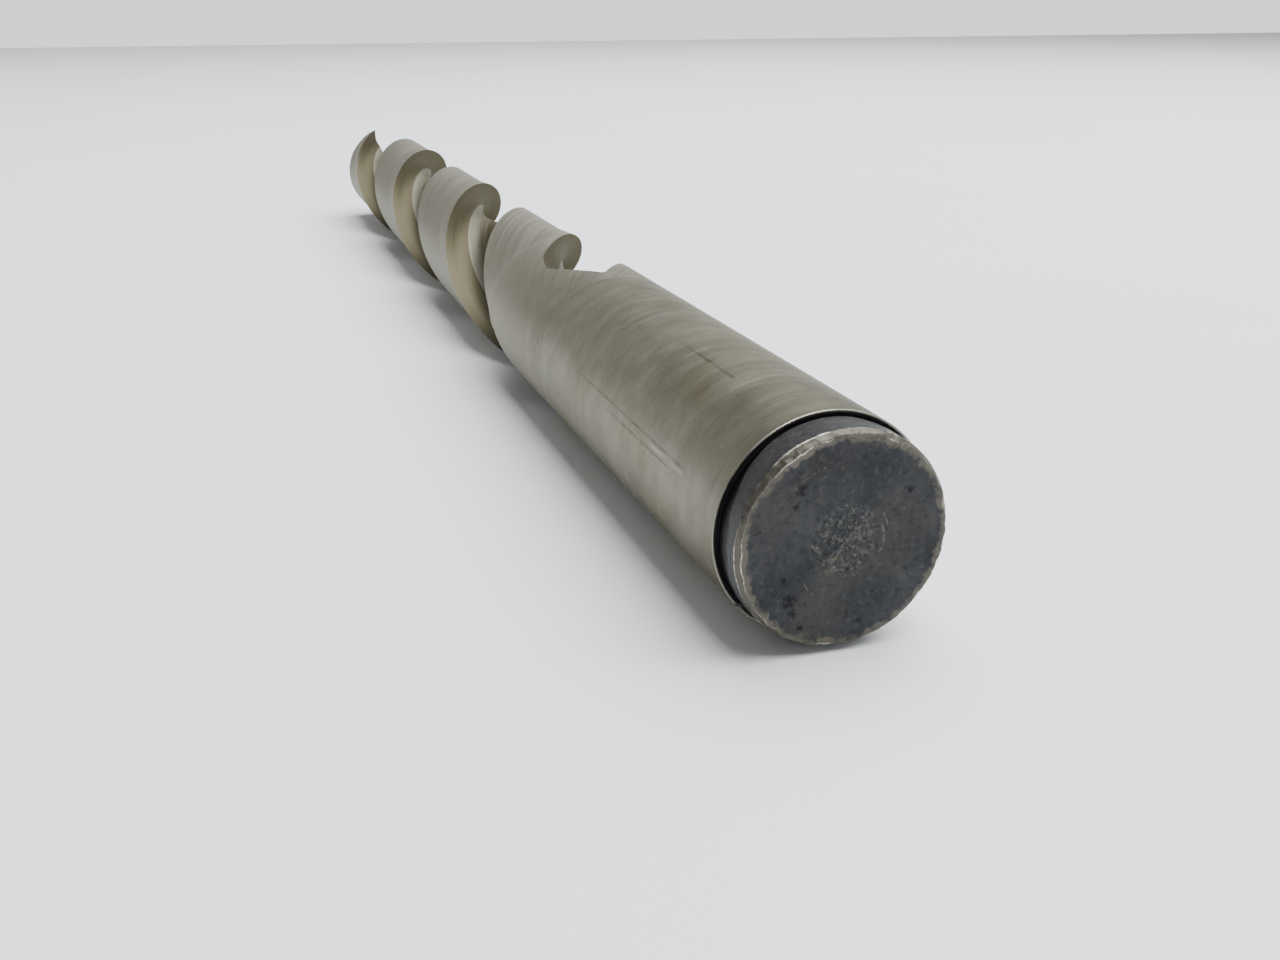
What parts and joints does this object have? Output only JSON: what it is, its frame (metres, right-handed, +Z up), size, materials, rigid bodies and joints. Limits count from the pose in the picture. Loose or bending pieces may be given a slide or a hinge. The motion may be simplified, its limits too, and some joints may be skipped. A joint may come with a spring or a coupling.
{
  "type": "long end mill",
  "caption": "Long square end mill with right-hand helical flutes, a round ground shank and a black unground shank end.",
  "frame": {"origin": "centre of the flat shank end face", "axes": "+X along the tool axis from the shank end to the cutting tip, +Z up with the tool lying down"},
  "size_m": [0.1556, 0.0126, 0.0126],
  "materials": {
    "ground_flutes": "ground high-speed steel, faint straw tint in the flutes",
    "ground_steel": "fine cylindrical grinding marks, light stains and scratches",
    "black_scale": "blue-black scale, worn bright round the rim"
  },
  "bodies": {
    "root": {"fluted_cutter": "ground_flutes", "ground_shank": "ground_steel", "shank_end": "black_scale"}
  },
  "joints": []
}
